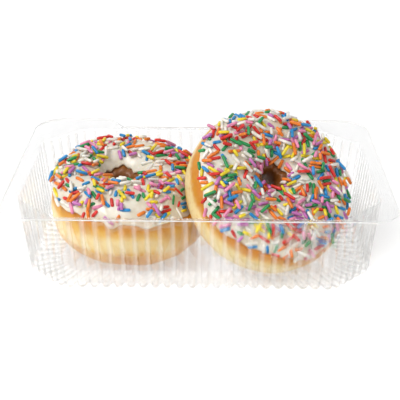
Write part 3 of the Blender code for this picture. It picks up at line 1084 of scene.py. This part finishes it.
def make_sprinkles(name, colour, rods):
    """All rods of one colour as one mesh of closed capsules."""
    points = rod_points(rods)
    quads, triangles = rod_faces()
    first = np.arange(len(rods))[:, None, None] * points.shape[1]
    faces = (quads + first).reshape(-1, 4).tolist() + (triangles + first).reshape(-1, 3).tolist()
    material = sugar_sprinkle(name, colour)
    piece = mesh_object(f"sprinkles_{name}", points.reshape(-1, 3), faces, (material,))
    finish_piece(piece, "sprinkles", "icing_left", "icing_right")


def make_all_sprinkles():
    """Deals the rods of both doughnuts to the colours by their shares of the mix."""
    draw = np.random.default_rng(MIX_SEED)
    rods = sprinkle_rods(LEFT) + sprinkle_rods(RIGHT)
    names = list(SPRINKLE_MIX)
    shares = np.array([SPRINKLE_MIX[name][1] for name in names])
    colour_of = draw.choice(len(names), size=len(rods), p=shares / shares.sum())
    for number, name in enumerate(names):
        mine = [rod for rod, colour in zip(rods, colour_of) if colour == number]
        make_sprinkles(name, SPRINKLE_MIX[name][0], mine)


# Floor, light and camera


def make_floor():
    """A wide white disc that the tray stands on, with more glow where the lamps reach less."""
    turn = np.arange(FLOOR_SIDES) * 2 * math.pi / FLOOR_SIDES
    circle = np.stack([np.cos(turn), np.sin(turn)], axis=-1) * FLOOR_RADIUS
    rim = np.column_stack([circle, np.full(FLOOR_SIDES, FLOOR_LEVEL)])
    material, nodes, links, shader = new_material("white floor")
    shader.inputs["Base Color"].default_value = (0.50, 0.50, 0.50, 1)
    shader.inputs["Emission Color"].default_value = (1, 1, 1, 1)
    place = nodes.new("ShaderNodeTexCoord")
    distance = nodes.new("ShaderNodeVectorMath")
    distance.operation = "LENGTH"
    links.new(place.outputs["Object"], distance.inputs[0])
    away = distance.outputs["Value"]
    glow = ramp(nodes, links, away, GLOW_STARTS, GLOW_ENDS, GLOW_NEAR, GLOW_FAR)
    links.new(glow, shader.inputs["Emission Strength"])
    shader.inputs["Roughness"].default_value = 0.9
    shader.inputs["Specular IOR Level"].default_value = 0.2
    floor = mesh_object("floor", rim, [list(range(FLOOR_SIDES))], (material,))


def add_lamp(name, place, size, power):
    """A white area lamp, turned to the lamps' target."""
    light = bpy.data.lights.new(name, "AREA")
    light.shape = "RECTANGLE"
    light.size, light.size_y = size
    light.energy = power
    lamp = bpy.data.objects.new(name, light)
    lamp.location = place
    aim = Vector(LAMP_TARGET) - Vector(place)
    lamp.rotation_euler = aim.to_track_quat("-Z", "Y").to_euler()
    bpy.context.scene.collection.objects.link(lamp)


def make_light():
    """A white world, weaker where it lights things than where it is seen, and the lamps."""
    world = bpy.data.worlds.new("studio")
    bpy.context.scene.world = world
    world.use_nodes = True
    background = world.node_tree.nodes["Background"]
    background.inputs["Color"].default_value = (1, 1, 1, 1)
    path = world.node_tree.nodes.new("ShaderNodeLightPath")
    seen = world.node_tree.nodes.new("ShaderNodeMapRange")
    seen.inputs["To Min"].default_value = WORLD_SEEN
    seen.inputs["To Max"].default_value = WORLD_LIGHT
    world.node_tree.links.new(path.outputs["Is Diffuse Ray"], seen.inputs["Value"])
    world.node_tree.links.new(seen.outputs["Result"], background.inputs["Strength"])
    for lamp in LAMPS:
        add_lamp(*lamp)


def make_camera():
    """Stands back from the target along the view direction, turned a little about it."""
    flat = math.cos(CAMERA_DOWN)
    ahead, aside = math.cos(CAMERA_YAW), math.sin(CAMERA_YAW)
    forward = Vector((aside * flat, ahead * flat, -math.sin(CAMERA_DOWN)))
    level = Vector((ahead, -aside, 0))
    above = level.cross(forward)
    right = level * math.cos(CAMERA_ROLL) + above * math.sin(CAMERA_ROLL)
    up = above * math.cos(CAMERA_ROLL) - level * math.sin(CAMERA_ROLL)
    data = bpy.data.cameras.new("camera")
    data.lens = CAMERA_LENS
    data.shift_y = CAMERA_SHIFT_UP
    camera = bpy.data.objects.new("camera", data)
    turned = Matrix((right, up, -forward)).transposed().to_4x4()
    camera.matrix_world = Matrix.Translation(CAMERA_TARGET - forward * CAMERA_DISTANCE) @ turned
    bpy.context.scene.collection.objects.link(camera)
    bpy.context.scene.camera = camera


make_camera()
make_floor()
make_light()
bpy.context.scene.view_settings.view_transform = "Standard"
make_tray()
crust_finish = fried_dough()
icing_finish = white_icing()
for ring in (LEFT, RIGHT):
    make_dough(ring, crust_finish)
    make_icing(ring, icing_finish)
make_all_sprinkles()
